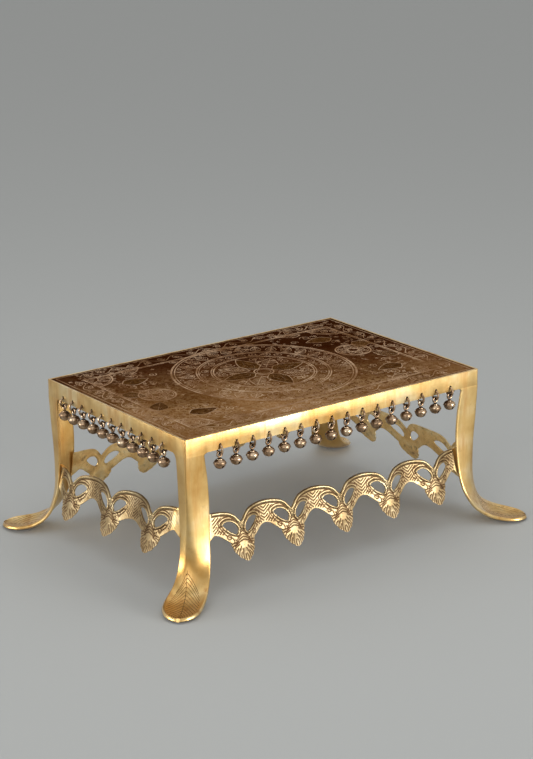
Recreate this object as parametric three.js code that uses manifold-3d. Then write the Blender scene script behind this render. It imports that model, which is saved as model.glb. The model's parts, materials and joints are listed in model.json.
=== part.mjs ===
// Low ritual table of cast brass, with an engraved plate, openwork skirts and swinging ankle bells.
// Millimetres, +Z up. The origin is the middle of the floor under the table, and the front is the -Y side.

import * as THREE from 'three';
import { mergeVertices } from 'three/addons/utils/BufferGeometryUtils.js';
import Module from 'manifold-3d';

const wasm = await Module();
wasm.setup();

// Whole table
const table_length = 450;
const table_width = 300;
const table_height = 200;
const seat_gap = 0.3;
const cut_overrun = 2;

// Frame: apron walls with a ledge inside them that carries the plate
const apron_height = 21;
const apron_wall = 3;
const ledge_width = 6;
const ledge_thickness = 2;
const ledge_root = 1.5;

// Top plate
const plate_thickness = 2.4;

// Legs: an angle at the apron that opens out and turns into a spoon-shaped foot
const leg_root = 4;
const leg_bow = 5;
const flange_reach = { long: 26.5, short: 22 };
const foot_reach = 64;
const foot_cup = 5.5;
const foot_wall = 4.5;
const foot_flat = 0.4;

// Openwork skirts: arches, ties between them, and a palmette hanging under each tie
const skirt_thickness = 2.6;
const skirt_depth = 60.5;
const skirt_lap = 5;
const skirt_lean = 15.5;
const palmette_lobe_rise = 0.9;

// Bells on rings through holes in the apron
const bell_hole_radius = 1.9;
const bell_hole_drop = 15.4;
const wire_radius = 0.8;
const ring_radius = 6.2;
const ring_play = 0.5;
const loop_radius = 3.3;
const bell_radius = 7.6;
const bell_body_height = 16;
const crown_sink = 1.2;
const wire_bite = 0.3;
const slit_width = 1.4;

// The four sides as they are met from outside, left to right along each side's own x axis
const sides = {
  front: { turn: 0, length: table_length, stand_off: table_width / 2, flange: 'long' },
  right: { turn: 1, length: table_width, stand_off: table_length / 2, flange: 'short' },
  back: { turn: 2, length: table_length, stand_off: table_width / 2, flange: 'long' },
  left: { turn: 3, length: table_width, stand_off: table_length / 2, flange: 'short' },
};
const quarter_turn = Math.PI / 2;

// Rows of bells and of skirt ties, spaced and shifted in shares of their side's length.
// A tilted skirt was fixed higher at its right end. A deep arch is cut out less than the others.
const bell_rows = {
  front: { count: 16, pitch_share: 0.0524, shift_share: 0.0042 },
  right: { count: 10, pitch_share: 0.0727, shift_share: 0 },
  back: { count: 16, pitch_share: 0.0524, shift_share: 0 },
  left: { count: 11, pitch_share: 0.0727, shift_share: -0.0163 },
};
const skirt_rows = {
  front: { count: 5, pitch_share: 0.1662, shift_share: 0.0067, tilt_degrees: 0 },
  right: { count: 3, pitch_share: 0.2967, shift_share: -0.04, tilt_degrees: 0 },
  back: { count: 5, pitch_share: 0.1662, shift_share: 0, tilt_degrees: 0 },
  left: { count: 3, pitch_share: 0.2967, shift_share: -0.04, tilt_degrees: 4.2, deep_arch: 2 },
};
const placesAlong = (side, { count, pitch_share, shift_share }) => Array.from(
  { length: count },
  (_, i) => side.length * (shift_share + (i - (count - 1) / 2) * pitch_share),
);

// Materials
const brass = { color: 0xd9b66a, roughness: 0.32, metalness: 1 };
const dark_brass = { color: 0x5e4426, roughness: 0.45, metalness: 1 };
const aged_brass = { color: 0xb79a66, roughness: 0.48, metalness: 1 };
const bell_brass = { color: 0x8c745a, roughness: 0.5, metalness: 1 };

// Solid modelling: meshes go to solids, are joined and cut there, and come back as geometry
const solidOf = (geometry) => {
  const bare = geometry.clone();
  bare.deleteAttribute('normal');
  bare.deleteAttribute('uv');
  const welded = mergeVertices(bare);
  return new wasm.Manifold(new wasm.Mesh({
    numProp: 3,
    vertProperties: Float32Array.from(welded.attributes.position.array),
    triVerts: Uint32Array.from(welded.index.array),
  }));
};

const geometryOf = (solid) => {
  const mesh = solid.getMesh();
  const geometry = new THREE.BufferGeometry();
  geometry.setAttribute('position', new THREE.BufferAttribute(mesh.vertProperties, 3));
  geometry.setIndex(new THREE.BufferAttribute(mesh.triVerts, 1));
  geometry.computeVertexNormals();
  return geometry;
};

const named = (name, geometry, finish) => {
  const mesh = new THREE.Mesh(geometry, new THREE.MeshStandardMaterial(finish));
  mesh.name = name;
  return mesh;
};

const rectangle = (Kind, length, width) => {
  const outline = new Kind();
  outline.moveTo(-length / 2, -width / 2);
  outline.lineTo(length / 2, -width / 2);
  outline.lineTo(length / 2, width / 2);
  outline.lineTo(-length / 2, width / 2);
  outline.closePath();
  return outline;
};

// A rectangular ring: four walls of one thickness round an open middle
const rectangularRing = (length, width, wall, height) => {
  const outline = rectangle(THREE.Shape, length, width);
  outline.holes.push(rectangle(THREE.Path, length - 2 * wall, width - 2 * wall));
  return new THREE.ExtrudeGeometry(outline, { depth: height, bevelEnabled: false });
};

// Apron: the wall, its ledge, and one hole for each bell ring
const bell_hole_height = table_height - bell_hole_drop;
const bell_hole_sides = 5;

const apron = () => {
  const walls = rectangularRing(table_length, table_width, apron_wall, apron_height);
  walls.translate(0, 0, table_height - apron_height);
  const ledge_inset = 2 * (apron_wall - ledge_root);
  const ledge = rectangularRing(
    table_length - ledge_inset, table_width - ledge_inset, ledge_width + ledge_root, ledge_thickness);
  ledge.translate(0, 0, table_height - plate_thickness - seat_gap - ledge_thickness);
  let solid = solidOf(walls).add(solidOf(ledge));
  for (const [side_name, side] of Object.entries(sides)) {
    for (const place of placesAlong(side, bell_rows[side_name])) {
      const drill = new THREE.CylinderGeometry(
        bell_hole_radius, bell_hole_radius, apron_wall + 2 * cut_overrun, bell_hole_sides);
      drill.translate(place, -side.stand_off + apron_wall / 2, bell_hole_height);
      drill.rotateZ(side.turn * quarter_turn);
      solid = solid.subtract(solidOf(drill));
    }
  }
  return solid;
};

// Leg stations from the apron down to the toe. Up is a share of the height from the sole to the
// apron, out of the foot's reach, bow of the inward bow, long and short of the two flange reaches,
// fold of a right angle between the flanges, cup of the foot's hollow, wall from apron wall to foot wall.
const leg_station_shares = [
  { up: 1, out: 0, bow: 0, long: 0.86, short: 0.8, fold: 1, round: 0, cup: 0, wall: 0 },
  { up: 0.986, out: 0, bow: 0, long: 0.76, short: 0.71, fold: 1, round: 0, cup: 0, wall: 0 },
  { up: 0.95, out: 0, bow: 0.05, long: 0.76, short: 0.63, fold: 1, round: 0, cup: 0, wall: 0 },
  { up: 0.806, out: 0, bow: 0.35, long: 0.84, short: 0.575, fold: 0.98, round: 0.02, cup: 0, wall: 0 },
  { up: 0.606, out: 0, bow: 0.85, long: 0.895, short: 0.525, fold: 0.86, round: 0.1, cup: 0, wall: 0 },
  { up: 0.405, out: 0, bow: 1, long: 0.925, short: 0.48, fold: 0.66, round: 0.25, cup: 0, wall: 0.1 },
  { up: 0.28, out: 0, bow: 0.7, long: 0.96, short: 0.5, fold: 0.48, round: 0.5, cup: 0, wall: 0.3 },
  { up: 0.19, out: 0.03, bow: 0.3, long: 1, short: 0.58, fold: 0.3, round: 0.7, cup: 0.05, wall: 0.6 },
  { up: 0.115, out: 0.1, bow: 0.05, long: 1, short: 0.72, fold: 0.15, round: 0.9, cup: 0.25, wall: 0.9 },
  { up: 0.058, out: 0.21, bow: 0, long: 0.96, short: 0.88, fold: 0, round: 1, cup: 0.6, wall: 1 },
  { up: 0.02, out: 0.38, bow: 0, long: 0.9, short: 1, fold: 0, round: 1, cup: 0.95, wall: 1 },
  { up: 0, out: 0.62, bow: 0, long: 0.82, short: 1, fold: 0, round: 1, cup: 1, wall: 1 },
  { up: 0.001, out: 0.82, bow: 0, long: 0.66, short: 0.8, fold: 0, round: 1, cup: 0.75, wall: 1 },
  { up: 0.008, out: 0.94, bow: 0, long: 0.4, short: 0.49, fold: 0, round: 1, cup: 0.4, wall: 1 },
  { up: 0.016, out: 1, bow: 0, long: 0.1, short: 0.12, fold: 0, round: 1, cup: 0, wall: 1 },
];
const leg_across_shares = [-1, -0.62, -0.28, 0, 0.28, 0.62, 1];
const diagonal = Math.SQRT1_2;
const leg_top = table_height - apron_height;
const sole_height = foot_wall - foot_flat;

// The leg's ridge line in its diagonal plane, with the root inside the apron as its first station
const legStations = () => {
  const placed = leg_station_shares.map((share) => ({
    ...share,
    out: share.out * foot_reach - share.bow * leg_bow,
    height: sole_height + share.up * (leg_top - sole_height),
    thickness: apron_wall + share.wall * (foot_wall - apron_wall),
  }));
  return [{ ...placed[0], height: leg_top + leg_root }, ...placed];
};

// One section across the leg: sideways is along the flange direction, outward is square to the path
const sectionLine = (station) => leg_across_shares.map((across) => {
  const reach = across > 0 ? station.long * flange_reach.long : station.short * flange_reach.short;
  const soft = (value) => Math.hypot(value, station.round) - station.round;
  const fold = station.fold * reach * soft(across) / soft(1);
  return new THREE.Vector2(across * reach, foot_cup * station.cup * across * across - fold);
});

// Moves a section line square to itself, with mitred corners, and lengthens its two ends
const offsetLine = (line, distance, end_growth) => line.map((point, i) => {
  const before = line[Math.max(i - 1, 0)];
  const after = line[Math.min(i + 1, line.length - 1)];
  const into = i > 0 ? point.clone().sub(before).normalize() : after.clone().sub(point).normalize();
  const away = i < line.length - 1 ? after.clone().sub(point).normalize() : into;
  const mitre = new THREE.Vector2(-into.y - away.y, into.x + away.x).normalize();
  const moved = point.clone().addScaledVector(mitre, distance / (mitre.x * -into.y + mitre.y * into.x));
  const outermost = i === 0 ? -1 : i === line.length - 1 ? 1 : 0;
  return moved.addScaledVector(into, outermost * end_growth);
});

// A closed leg for one corner; clearance swells it into the cutter that trims what butts on it
const legSolid = (sign_x, sign_y, clearance) => {
  const stations = legStations();
  const positions = [];
  stations.forEach((station, i) => {
    const above = stations[Math.max(i - 1, 0)];
    const below = stations[Math.min(i + 1, stations.length - 1)];
    const path = new THREE.Vector2(below.out - above.out, below.height - above.height).normalize();
    const line = sectionLine(station);
    const outer = offsetLine(line, clearance, clearance);
    const inner = offsetLine(line, -station.thickness - clearance, clearance);
    for (const { x: sideways, y: outward } of [...outer, ...inner.reverse()]) {
      const out = station.out - outward * path.y;
      const height = station.height + outward * path.x;
      positions.push(
        sign_x * (table_length / 2 + diagonal * (out - sideways)),
        sign_y * (table_width / 2 + diagonal * (out + sideways)),
        height,
      );
    }
  });
  const around = 2 * leg_across_shares.length;
  const faces = [];
  const quad = (a, b, c, d) => faces.push([a, b, c], [a, c, d]);
  for (let i = 0; i < stations.length - 1; i++) {
    for (let j = 0; j < around; j++) {
      const next = (j + 1) % around;
      quad(i * around + j, i * around + next, (i + 1) * around + next, (i + 1) * around + j);
    }
  }
  const toe = (stations.length - 1) * around;
  for (let j = 0; j < leg_across_shares.length - 1; j++) {
    quad(j, around - 1 - j, around - 2 - j, j + 1);
    quad(toe + j, toe + j + 1, toe + around - 2 - j, toe + around - 1 - j);
  }
  const facing_out = sign_x * sign_y < 0 ? faces : faces.map(([a, b, c]) => [a, c, b]);
  const geometry = new THREE.BufferGeometry();
  geometry.setAttribute('position', new THREE.Float32BufferAttribute(positions, 3));
  geometry.setIndex(facing_out.flat());
  return solidOf(geometry);
};

// Everything below the floor, taken off so that each sole rests on a flat
const belowFloor = () => {
  const reach = table_length + table_width + 2 * foot_reach;
  const block = new THREE.BoxGeometry(reach, reach, foot_wall);
  block.translate(0, 0, -foot_wall / 2);
  return solidOf(block);
};

const corners = [[-1, -1], [1, -1], [1, 1], [-1, 1]];

const frameSolid = () => {
  let solid = apron();
  for (const [sign_x, sign_y] of corners) {
    solid = solid.add(legSolid(sign_x, sign_y, 0));
  }
  return solid.subtract(belowFloor());
};

// Skirt pattern. Across is a share of half a pitch from the tie, down a share of the skirt's depth.
const arch_shares = [[0, 0.253], [0.1, 0.192], [0.2, 0.121], [0.355, 0.056], [0.57, 0.02], [1, 0]];
const arch_underside_shares = [[1, 0.436], [0.826, 0.466], [0.643, 0.55], [0.52, 0.61], [0.43, 0.651]];
const deep_underside_shares = [[1, 0.54], [0.826, 0.553], [0.643, 0.594], [0.52, 0.63], [0.43, 0.651]];
const palmette_shares = [[0.43, 0.651], [0.4, 0.752], [0.3, 0.868], [0.16, 0.95], [0, 1]];
const eye_shares = [
  [0.66, 0.268], [0.5, 0.22], [0.32, 0.247], [0.18, 0.33],
  [0.135, 0.425], [0.21, 0.487], [0.345, 0.452], [0.52, 0.373],
];
const tab_underside_share = 0.57;
const skirt_station = leg_station_shares[4];
const skirt_level_share = 0.54;
const crest_height = sole_height + skirt_level_share * (leg_top - sole_height);
const lobes_per_half_palmette = 3;

// Skirt section, from its top edge down: how far it leans out, as a share of the lean at the tip
const lean_shares = [[-0.08, -0.42], [0.42, 0.03], [0.76, 0.38], [1.06, 1]];

const patternPoint = (tie, half_pitch, hand, [across, down]) =>
  new THREE.Vector2(tie + hand * across * half_pitch, crest_height - down * skirt_depth);

// Scalloped edge of half a palmette, from its shoulder to its tip
const scallopedEdge = (tie, half_pitch, hand) => {
  const edge = new THREE.SplineCurve(
    palmette_shares.map((share) => patternPoint(tie, half_pitch, hand, share)));
  const heart = patternPoint(tie, half_pitch, hand, [0, palmette_shares[0][1]]);
  return edge.getPoints(2 * lobes_per_half_palmette).map((point, i) => {
    const outward = point.clone().sub(heart).normalize();
    return point.addScaledVector(outward, i % 2 === 1 ? palmette_lobe_rise : 0);
  });
};

const skirtOutline = (side_name, end) => {
  const side = sides[side_name];
  const half_pitch = side.length * skirt_rows[side_name].pitch_share / 2;
  const ties = placesAlong(side, skirt_rows[side_name]);
  const top_edge = [];
  const bottom_edge = [];
  for (const [i, tie] of ties.entries()) {
    const at = (hand, shares) => shares.map((share) => patternPoint(tie, half_pitch, hand, share));
    const [before, after] = [i, i + 1].map((arch) => (
      arch === skirt_rows[side_name].deep_arch ? deep_underside_shares : arch_underside_shares));
    top_edge.push(...at(-1, arch_shares).reverse(), ...at(1, arch_shares).slice(1, -1));
    bottom_edge.push(
      ...at(-1, before).slice(0, -1),
      ...scallopedEdge(tie, half_pitch, -1).slice(0, -1),
      ...scallopedEdge(tie, half_pitch, 1).reverse(),
      ...at(1, after).reverse().slice(1, -1),
    );
  }
  const corner = (sign, share) => {
    const reach = Math.max(end, sign * ties.at(sign < 0 ? 0 : -1) + half_pitch + skirt_lap);
    return new THREE.Vector2(sign * reach, patternPoint(0, 0, 1, [0, share]).y);
  };
  const outline = new THREE.Shape([
    corner(-1, 0), corner(-1, tab_underside_share), ...bottom_edge,
    corner(1, tab_underside_share), corner(1, 0), ...top_edge.reverse(),
  ]);
  for (const tie of ties) {
    for (const hand of [-1, 1]) {
      const eye = eye_shares.map((share) => patternPoint(tie, half_pitch, hand, share));
      outline.holes.push(new THREE.Path(eye));
    }
  }
  return outline;
};

// The skirt is its flat pattern cut through a leaning, curved sheet, then trimmed to the two legs.
// An offcut on the far side of a leg is dropped.
const skirtSolid = (side_name) => {
  const side = sides[side_name];
  const flange_width = 2 * diagonal * skirt_station[side.flange] * flange_reach[side.flange];
  const end = side.length / 2 - flange_width + skirt_lap;
  const pattern_depth = 2 * (skirt_lean + skirt_thickness);
  const pattern = new THREE.ExtrudeGeometry(
    skirtOutline(side_name, end), { depth: 2 * pattern_depth, bevelEnabled: false });
  pattern.rotateX(quarter_turn);
  pattern.translate(0, -side.stand_off + pattern_depth, 0);
  const face = lean_shares.map(([down, lean]) => new THREE.Vector2(
    -side.stand_off - lean * skirt_lean, crest_height - down * skirt_depth));
  const back = face.map((point) => new THREE.Vector2(point.x + skirt_thickness, point.y));
  const sheet = new THREE.ExtrudeGeometry(
    new THREE.Shape([...face, ...back.reverse()]), { depth: 2 * end, bevelEnabled: false });
  sheet.rotateX(quarter_turn);
  sheet.rotateZ(quarter_turn);
  sheet.translate(-end, 0, 0);
  const tilted = solidOf(pattern).intersect(solidOf(sheet))
    .translate([0, 0, -crest_height])
    .rotate([0, -skirt_rows[side_name].tilt_degrees, 0])
    .translate([0, 0, crest_height]);
  const placed = tilted.rotate([0, 0, THREE.MathUtils.radToDeg(side.turn * quarter_turn)]);
  const trimmed = corners.reduce(
    (solid, [sign_x, sign_y]) => solid.subtract(legSolid(sign_x, sign_y, seat_gap)), placed);
  return trimmed.decompose().reduce((kept, piece) => (piece.volume() > kept.volume() ? piece : kept));
};

// One hanging bell, from the wire in its apron hole down: ring, loop and bell closed on each other
const ring_sides = 6;
const loop_sides = 5;
const wire_sides = 3;
const bell_sides = 6;
const bell_profile_shares = [[0, 1], [0.3, 1], [0.62, 0.76], [1, 0.46], [0.64, 0.08], [0, 0]];
const slit_depth_share = 0.36;

// A closed wire link in the XZ plane with a flat stretch at its foot, its centre at the origin
const wireRing = (radius, segments) => {
  const ring = new THREE.TorusGeometry(radius, wire_radius, wire_sides, segments);
  ring.rotateZ(Math.PI / segments - quarter_turn);
  ring.rotateX(quarter_turn);
  return ring;
};

const pendantGeometry = () => {
  const ring_drop = ring_radius * Math.cos(Math.PI / ring_sides);
  const ring = wireRing(ring_radius, ring_sides);
  ring.rotateZ(quarter_turn);
  ring.translate(0, 0, -ring_drop);
  const loop_drop = loop_radius * Math.cos(Math.PI / loop_sides);
  const loop_height = -2 * ring_drop - loop_radius + wire_radius - wire_bite;
  const loop = wireRing(loop_radius, loop_sides);
  loop.translate(0, 0, loop_height);
  const bell_top = loop_height - loop_drop + crown_sink;
  const profile = bell_profile_shares.map(([radius, height]) =>
    new THREE.Vector2(radius * bell_radius, height * bell_body_height)).reverse();
  const bell = new THREE.LatheGeometry(profile, bell_sides);
  bell.rotateX(quarter_turn);
  bell.translate(0, 0, bell_top - bell_body_height);
  const slit_depth = slit_depth_share * bell_body_height;
  const slit = new THREE.BoxGeometry(slit_width, 2 * (bell_radius + cut_overrun), slit_depth + cut_overrun);
  slit.translate(0, 0, bell_top - bell_body_height + (slit_depth - cut_overrun) / 2);
  return geometryOf(solidOf(bell).subtract(solidOf(slit)).add(solidOf(loop)).add(solidOf(ring)));
};

// Assembly
const table = new THREE.Group();

const plate = new THREE.BoxGeometry(
  table_length - 2 * (apron_wall + seat_gap), table_width - 2 * (apron_wall + seat_gap), plate_thickness);
plate.translate(0, 0, table_height - plate_thickness / 2);
table.add(named('top_plate', plate, dark_brass));
table.add(named('frame', geometryOf(frameSolid()), brass));

for (const side_name of Object.keys(sides)) {
  table.add(named(`skirt_${side_name}`, geometryOf(skirtSolid(side_name)), aged_brass));
}

const pendant = pendantGeometry();
for (const [side_name, side] of Object.entries(sides)) {
  const row = new THREE.Group();
  row.rotation.z = side.turn * quarter_turn;
  placesAlong(side, bell_rows[side_name]).forEach((place, i) => {
    const bell = named(`bell_${side_name}_${String(i + 1).padStart(2, '0')}`, pendant, bell_brass);
    bell.position.set(place, -side.stand_off + apron_wall / 2, bell_hole_height - ring_play);
    row.add(bell);
  });
  table.add(row);
}

export default table;
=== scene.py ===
# Low ritual table of cast brass: a dark engraved plate in a bright frame, openwork skirts between the
# spoon-footed legs, and small bells that swing on rings under the apron. Lengths are in millimetres
# until a mesh is settled in place, in metres.

import functools
import json
import math
import random

import bmesh
import bpy
from mathutils import Matrix, Vector
from mathutils.kdtree import KDTree

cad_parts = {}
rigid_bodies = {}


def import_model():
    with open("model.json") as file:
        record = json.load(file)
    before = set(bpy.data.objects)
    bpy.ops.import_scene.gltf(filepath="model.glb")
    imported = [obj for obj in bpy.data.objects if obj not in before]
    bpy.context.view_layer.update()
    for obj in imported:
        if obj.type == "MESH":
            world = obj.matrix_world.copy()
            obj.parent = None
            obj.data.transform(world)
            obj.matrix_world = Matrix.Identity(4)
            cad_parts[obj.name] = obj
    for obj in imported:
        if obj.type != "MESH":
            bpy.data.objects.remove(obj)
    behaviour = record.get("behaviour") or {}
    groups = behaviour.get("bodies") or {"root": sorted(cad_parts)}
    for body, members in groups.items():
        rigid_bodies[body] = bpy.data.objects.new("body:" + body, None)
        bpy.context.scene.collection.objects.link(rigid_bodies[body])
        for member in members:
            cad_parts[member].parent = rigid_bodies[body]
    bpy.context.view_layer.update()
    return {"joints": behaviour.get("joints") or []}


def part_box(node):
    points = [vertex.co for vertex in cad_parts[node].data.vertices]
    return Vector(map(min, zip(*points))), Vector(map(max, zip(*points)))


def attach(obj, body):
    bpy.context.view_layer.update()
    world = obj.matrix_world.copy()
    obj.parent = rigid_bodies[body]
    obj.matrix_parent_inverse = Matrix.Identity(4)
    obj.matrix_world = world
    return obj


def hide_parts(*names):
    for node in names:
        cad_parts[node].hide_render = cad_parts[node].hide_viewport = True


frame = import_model()


# The frame is one brass casting: four apron walls with a ledge for the plate and, at each corner, a
# leg that starts as an angle and opens into a spoon foot. It is filed and polished by hand, so it
# is bright gold with soft streaks, and painted shade browns its recesses and joins.
mm = 0.001
table_length, table_width, table_height = 450, 300, 200
apron_height, apron_wall = 21, 3
ledge_width, ledge_thickness, ledge_top = 6, 2, 197.3
corner_round, edge_round = 2.0, 0.8
hole_radius, hole_height = 1.9, 184.6
root_sink, root_height, ledge_bite = 0.03, 4, 1.5


def linear(colour):
    """An sRGB hex colour as the linear colour that a shader takes."""
    shares = [int(colour[i : i + 2], 16) / 255 for i in (1, 3, 5)]
    return [c / 12.92 if c <= 0.04045 else ((c + 0.055) / 1.055) ** 2.4 for c in shares] + [1]


def add(tree, kind, sockets=None, stops=(), **settings):
    """Adds a node with its settings. A socket takes a value, or the node or output it is linked
    from; stops are the (place, sRGB hex) colours of a ramp."""
    made = tree.nodes.new("ShaderNode" + kind)
    for name, value in settings.items():
        setattr(made, name, value)
    for key, value in (sockets or {}).items():
        if isinstance(value, bpy.types.Node):
            value = next(output for output in value.outputs if output.enabled)
        if isinstance(value, bpy.types.NodeSocket):
            tree.links.new(value, made.inputs[key])
        else:
            made.inputs[key].default_value = value
    if stops:
        points = made.color_ramp.elements
        points[0].position, points[1].position = stops[0][0], stops[-1][0]
        points[0].color, points[1].color = linear(stops[0][1]), linear(stops[-1][1])
        for place, colour in stops[1:-1]:
            points.new(place).color = linear(colour)
    return made


def blotch(size):
    """The scale at which a noise has blotches about size millimetres across."""
    return 0.5 / (size * mm)


def start_metal(name):
    """A new metal, its way to add a node and a place on the object in metres."""
    metal = bpy.data.materials.new(name)
    metal.use_nodes = True
    metal.node_tree.nodes["Principled BSDF"].inputs["Metallic"].default_value = 1
    node = functools.partial(add, metal.node_tree)
    return metal, node, node("TexCoord").outputs["Object"]


def finish_metal(metal, colour, roughness, height, depth, strength, plain=None):
    """Wires a metal's colour, roughness and a bump of depth millimetres into its shader, and sets
    what is plain all over."""
    tree = metal.node_tree
    shader = tree.nodes["Principled BSDF"]
    bump = add(tree, "Bump", {"Strength": strength, "Distance": depth * mm, "Height": height})
    shown = next(output for output in colour.outputs if output.enabled)
    tree.links.new(shown, shader.inputs["Base Color"])
    tree.links.new(roughness.outputs[0], shader.inputs["Roughness"])
    tree.links.new(bump.outputs["Normal"], shader.inputs["Normal"])
    for key, value in (plain or {}).items():
        shader.inputs[key].default_value = value
    return metal


def polished_brass():
    """Cast brass, filed and hand polished: bright gold with soft streaks, stains and casting pits."""
    metal, node, place = start_metal("cast brass, hand polished")
    mottle = node("TexNoise", {"Vector": place, "Scale": blotch(38), "Detail": 4, "Roughness": 0.6})
    gold = node("ValToRGB", {"Fac": mottle}, stops=[(0.32, "#C2944A"), (0.5, "#DEBA76"), (0.68, "#EED8A8")])
    # Hand polish leaves long soft streaks of tarnish, upright on the legs
    drawn = node("Mapping", {"Vector": place, "Scale": (1, 1, 0.14)})
    streaks = node("TexNoise", {"Vector": drawn, "Scale": blotch(6), "Detail": 4, "Roughness": 0.6})
    streak = node("MapRange", {"Value": streaks, "From Min": 0.48, "From Max": 0.68, "To Max": 0.75})
    streaked = node("Mix", {0: streak, 6: gold, 7: linear("#B27E3A")}, data_type="RGBA")
    stains = node("TexNoise", {"Vector": place, "Scale": blotch(9), "Detail": 6, "Roughness": 0.7})
    stain = node("MapRange", {"Value": stains, "From Min": 0.6, "From Max": 0.74, "To Max": 0.5})
    stained = node("Mix", {0: stain, 6: streaked, 7: linear("#9C6F35")}, data_type="RGBA")
    # Painted shade: ambient occlusion mixes a dark brown into the recesses and the joins
    open_air = node("AmbientOcclusion", {"Distance": 5 * mm}, samples=6).outputs["AO"]
    painted_recess_shade = node("MapRange",
                  {"Value": open_air, "From Min": 0.25, "From Max": 0.85, "To Min": 1, "To Max": 0})
    colour = node("Mix", {0: painted_recess_shade, 6: stained, 7: linear("#6E4A22")}, data_type="RGBA")
    roughness = node("MapRange",
                     {"Value": streaks, "From Min": 0.3, "From Max": 0.7, "To Min": 0.29, "To Max": 0.41})
    pits = node("TexNoise", {"Vector": place, "Scale": blotch(0.9), "Detail": 2})
    wave = node("TexNoise", {"Vector": place, "Scale": blotch(26), "Detail": 1})
    height = node("Math", {0: wave, 1: 12.0, 2: pits}, operation="MULTIPLY_ADD")
    # A film of wax from the polishing gives the metal its pale sheen
    wax = {"Coat Weight": 0.6, "Coat Roughness": 0.3}
    return finish_metal(metal, colour, roughness, height, 0.05, 0.35, wax)


def engraved_shadow():
    """Wax and tarnish left in an engraved line: a duller, browner gold than the polish round it."""
    metal, node, place = start_metal("tarnish in engraved lines")
    cloud = node("TexNoise", {"Vector": place, "Scale": blotch(6)})
    tone = node("ValToRGB", {"Fac": cloud}, stops=[(0.3, "#6A4A22"), (0.7, "#A67C42")])
    roughness = node("MapRange", {"Value": cloud, "To Min": 0.5, "To Max": 0.7})
    return finish_metal(metal, tone, roughness, cloud, 0.05, 0.3, {"Metallic": 0.8})


def piece_from(form, name, *materials, smooth_angle=35):
    """The finished object of a bmesh in millimetres, with its place in its mesh."""
    form.normal_update()
    mesh = bpy.data.meshes.new(name)
    form.to_mesh(mesh)
    form.free()
    mesh.transform(Matrix.Scale(mm, 4))
    mesh.shade_smooth()
    mesh.set_sharp_from_angle(angle=math.radians(smooth_angle))
    for material in materials:
        mesh.materials.append(material)
    piece = bpy.data.objects.new(name, mesh)
    bpy.context.scene.collection.objects.link(piece)
    return piece


def finished_mesh(thing):
    """The mesh that an object's modifiers or its curve come to."""
    graph = bpy.context.evaluated_depsgraph_get()
    graph.update()
    return bpy.data.meshes.new_from_object(thing.evaluated_get(graph))


def settle(piece):
    """Applies a piece's modifiers to its mesh."""
    made = finished_mesh(piece)
    made.shade_smooth()
    made.set_sharp_from_angle(angle=math.radians(30))
    piece.modifiers.clear()
    piece.data = made


def cut(piece, tool, operation="DIFFERENCE"):
    """Joins a piece with a tool or cuts it by the tool, and removes the tool."""
    boolean = piece.modifiers.new("cut", "BOOLEAN")
    boolean.object = tool
    boolean.operation = operation
    boolean.solver = "MANIFOLD"
    settle(piece)
    bpy.data.objects.remove(tool)


# Stations down a leg: up is a share of the height from sole to apron, out of the foot's reach, bow of
# the inward bow; long and short are shares of the two flanges, fold of a right angle between them.
leg_stations = [
    # up, out, bow, long, short, fold, round, cup, wall
    (1, 0, 0, 0.86, 0.8, 1, 0, 0, 0),
    (0.986, 0, 0, 0.76, 0.71, 1, 0, 0, 0),
    (0.95, 0, 0.05, 0.76, 0.63, 1, 0, 0, 0),
    (0.806, 0, 0.35, 0.84, 0.575, 0.98, 0.02, 0, 0),
    (0.606, 0, 0.85, 0.895, 0.525, 0.86, 0.1, 0, 0),
    (0.405, 0, 1, 0.925, 0.48, 0.66, 0.25, 0, 0.1),
    (0.28, 0, 0.7, 0.96, 0.5, 0.48, 0.5, 0, 0.3),
    (0.19, 0.03, 0.3, 1, 0.58, 0.3, 0.7, 0.05, 0.6),
    (0.115, 0.1, 0.05, 1, 0.72, 0.15, 0.9, 0.25, 0.9),
    (0.058, 0.21, 0, 0.96, 0.88, 0, 1, 0.6, 1),
    (0.02, 0.38, 0, 0.9, 1, 0, 1, 0.95, 1),
    (0, 0.62, 0, 0.82, 1, 0, 1, 1, 1),
    (0.001, 0.82, 0, 0.66, 0.8, 0, 1, 0.75, 1),
    (0.008, 0.94, 0, 0.4, 0.49, 0, 1, 0.4, 1),
    (0.016, 1, 0, 0.1, 0.12, 0, 1, 0, 1),
]
flange_long, flange_short = 26.5, 22
foot_reach, foot_cup, foot_wall, sole_height, leg_bow = 64, 5.5, 4.5, 4.1, 5
leg_top = table_height - apron_height
crown_run = 75
ridge_round, lip_round, flange_crown = 1.4, 1.3, 0.1
leg_across = [-1, -0.9, -0.76, -0.6, -0.45, -0.3, -0.18, -0.1, -0.05, -0.02, 0]
leg_across += [-across for across in reversed(leg_across[:-1])]
lip_turns = [60, 25, -25, -60]


def leg_path():
    """Points down the leg's ridge, with out, height and wall in millimetres and the rest in shares."""
    knots = []
    for up, out, bow, long, short, fold, soften, cup, wall in leg_stations:
        knots.append((
            out * foot_reach - bow * leg_bow,
            sole_height + up * (leg_top - sole_height),
            long, short, fold, soften, cup,
            apron_wall + wall * (foot_wall - apron_wall),
        ))
    run = [0]
    for above, below in zip(knots, knots[1:]):
        run.append(run[-1] + math.hypot(below[0] - above[0], below[1] - above[1]))
    slopes = []
    for i in range(len(knots)):
        a, b = max(i - 1, 0), min(i + 1, len(knots) - 1)
        slopes.append([(q - p) / (run[b] - run[a]) for p, q in zip(knots[a], knots[b])])
    path = [(0, leg_top + root_height, *knots[0][2:])]
    for i in range(len(knots) - 1):
        step = run[i + 1] - run[i]
        count = max(4, math.ceil(step / 4))
        for k in range(count):
            t = k / count
            path.append(tuple(
                p * (2 * t**3 - 3 * t**2 + 1) + q * (3 * t**2 - 2 * t**3)
                + step * (m * (t**3 - 2 * t**2 + t) + n * (t**3 - t**2))
                for p, q, m, n in zip(knots[i], knots[i + 1], slopes[i], slopes[i + 1])
            ))
    path.append(knots[-1])
    return path


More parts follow.
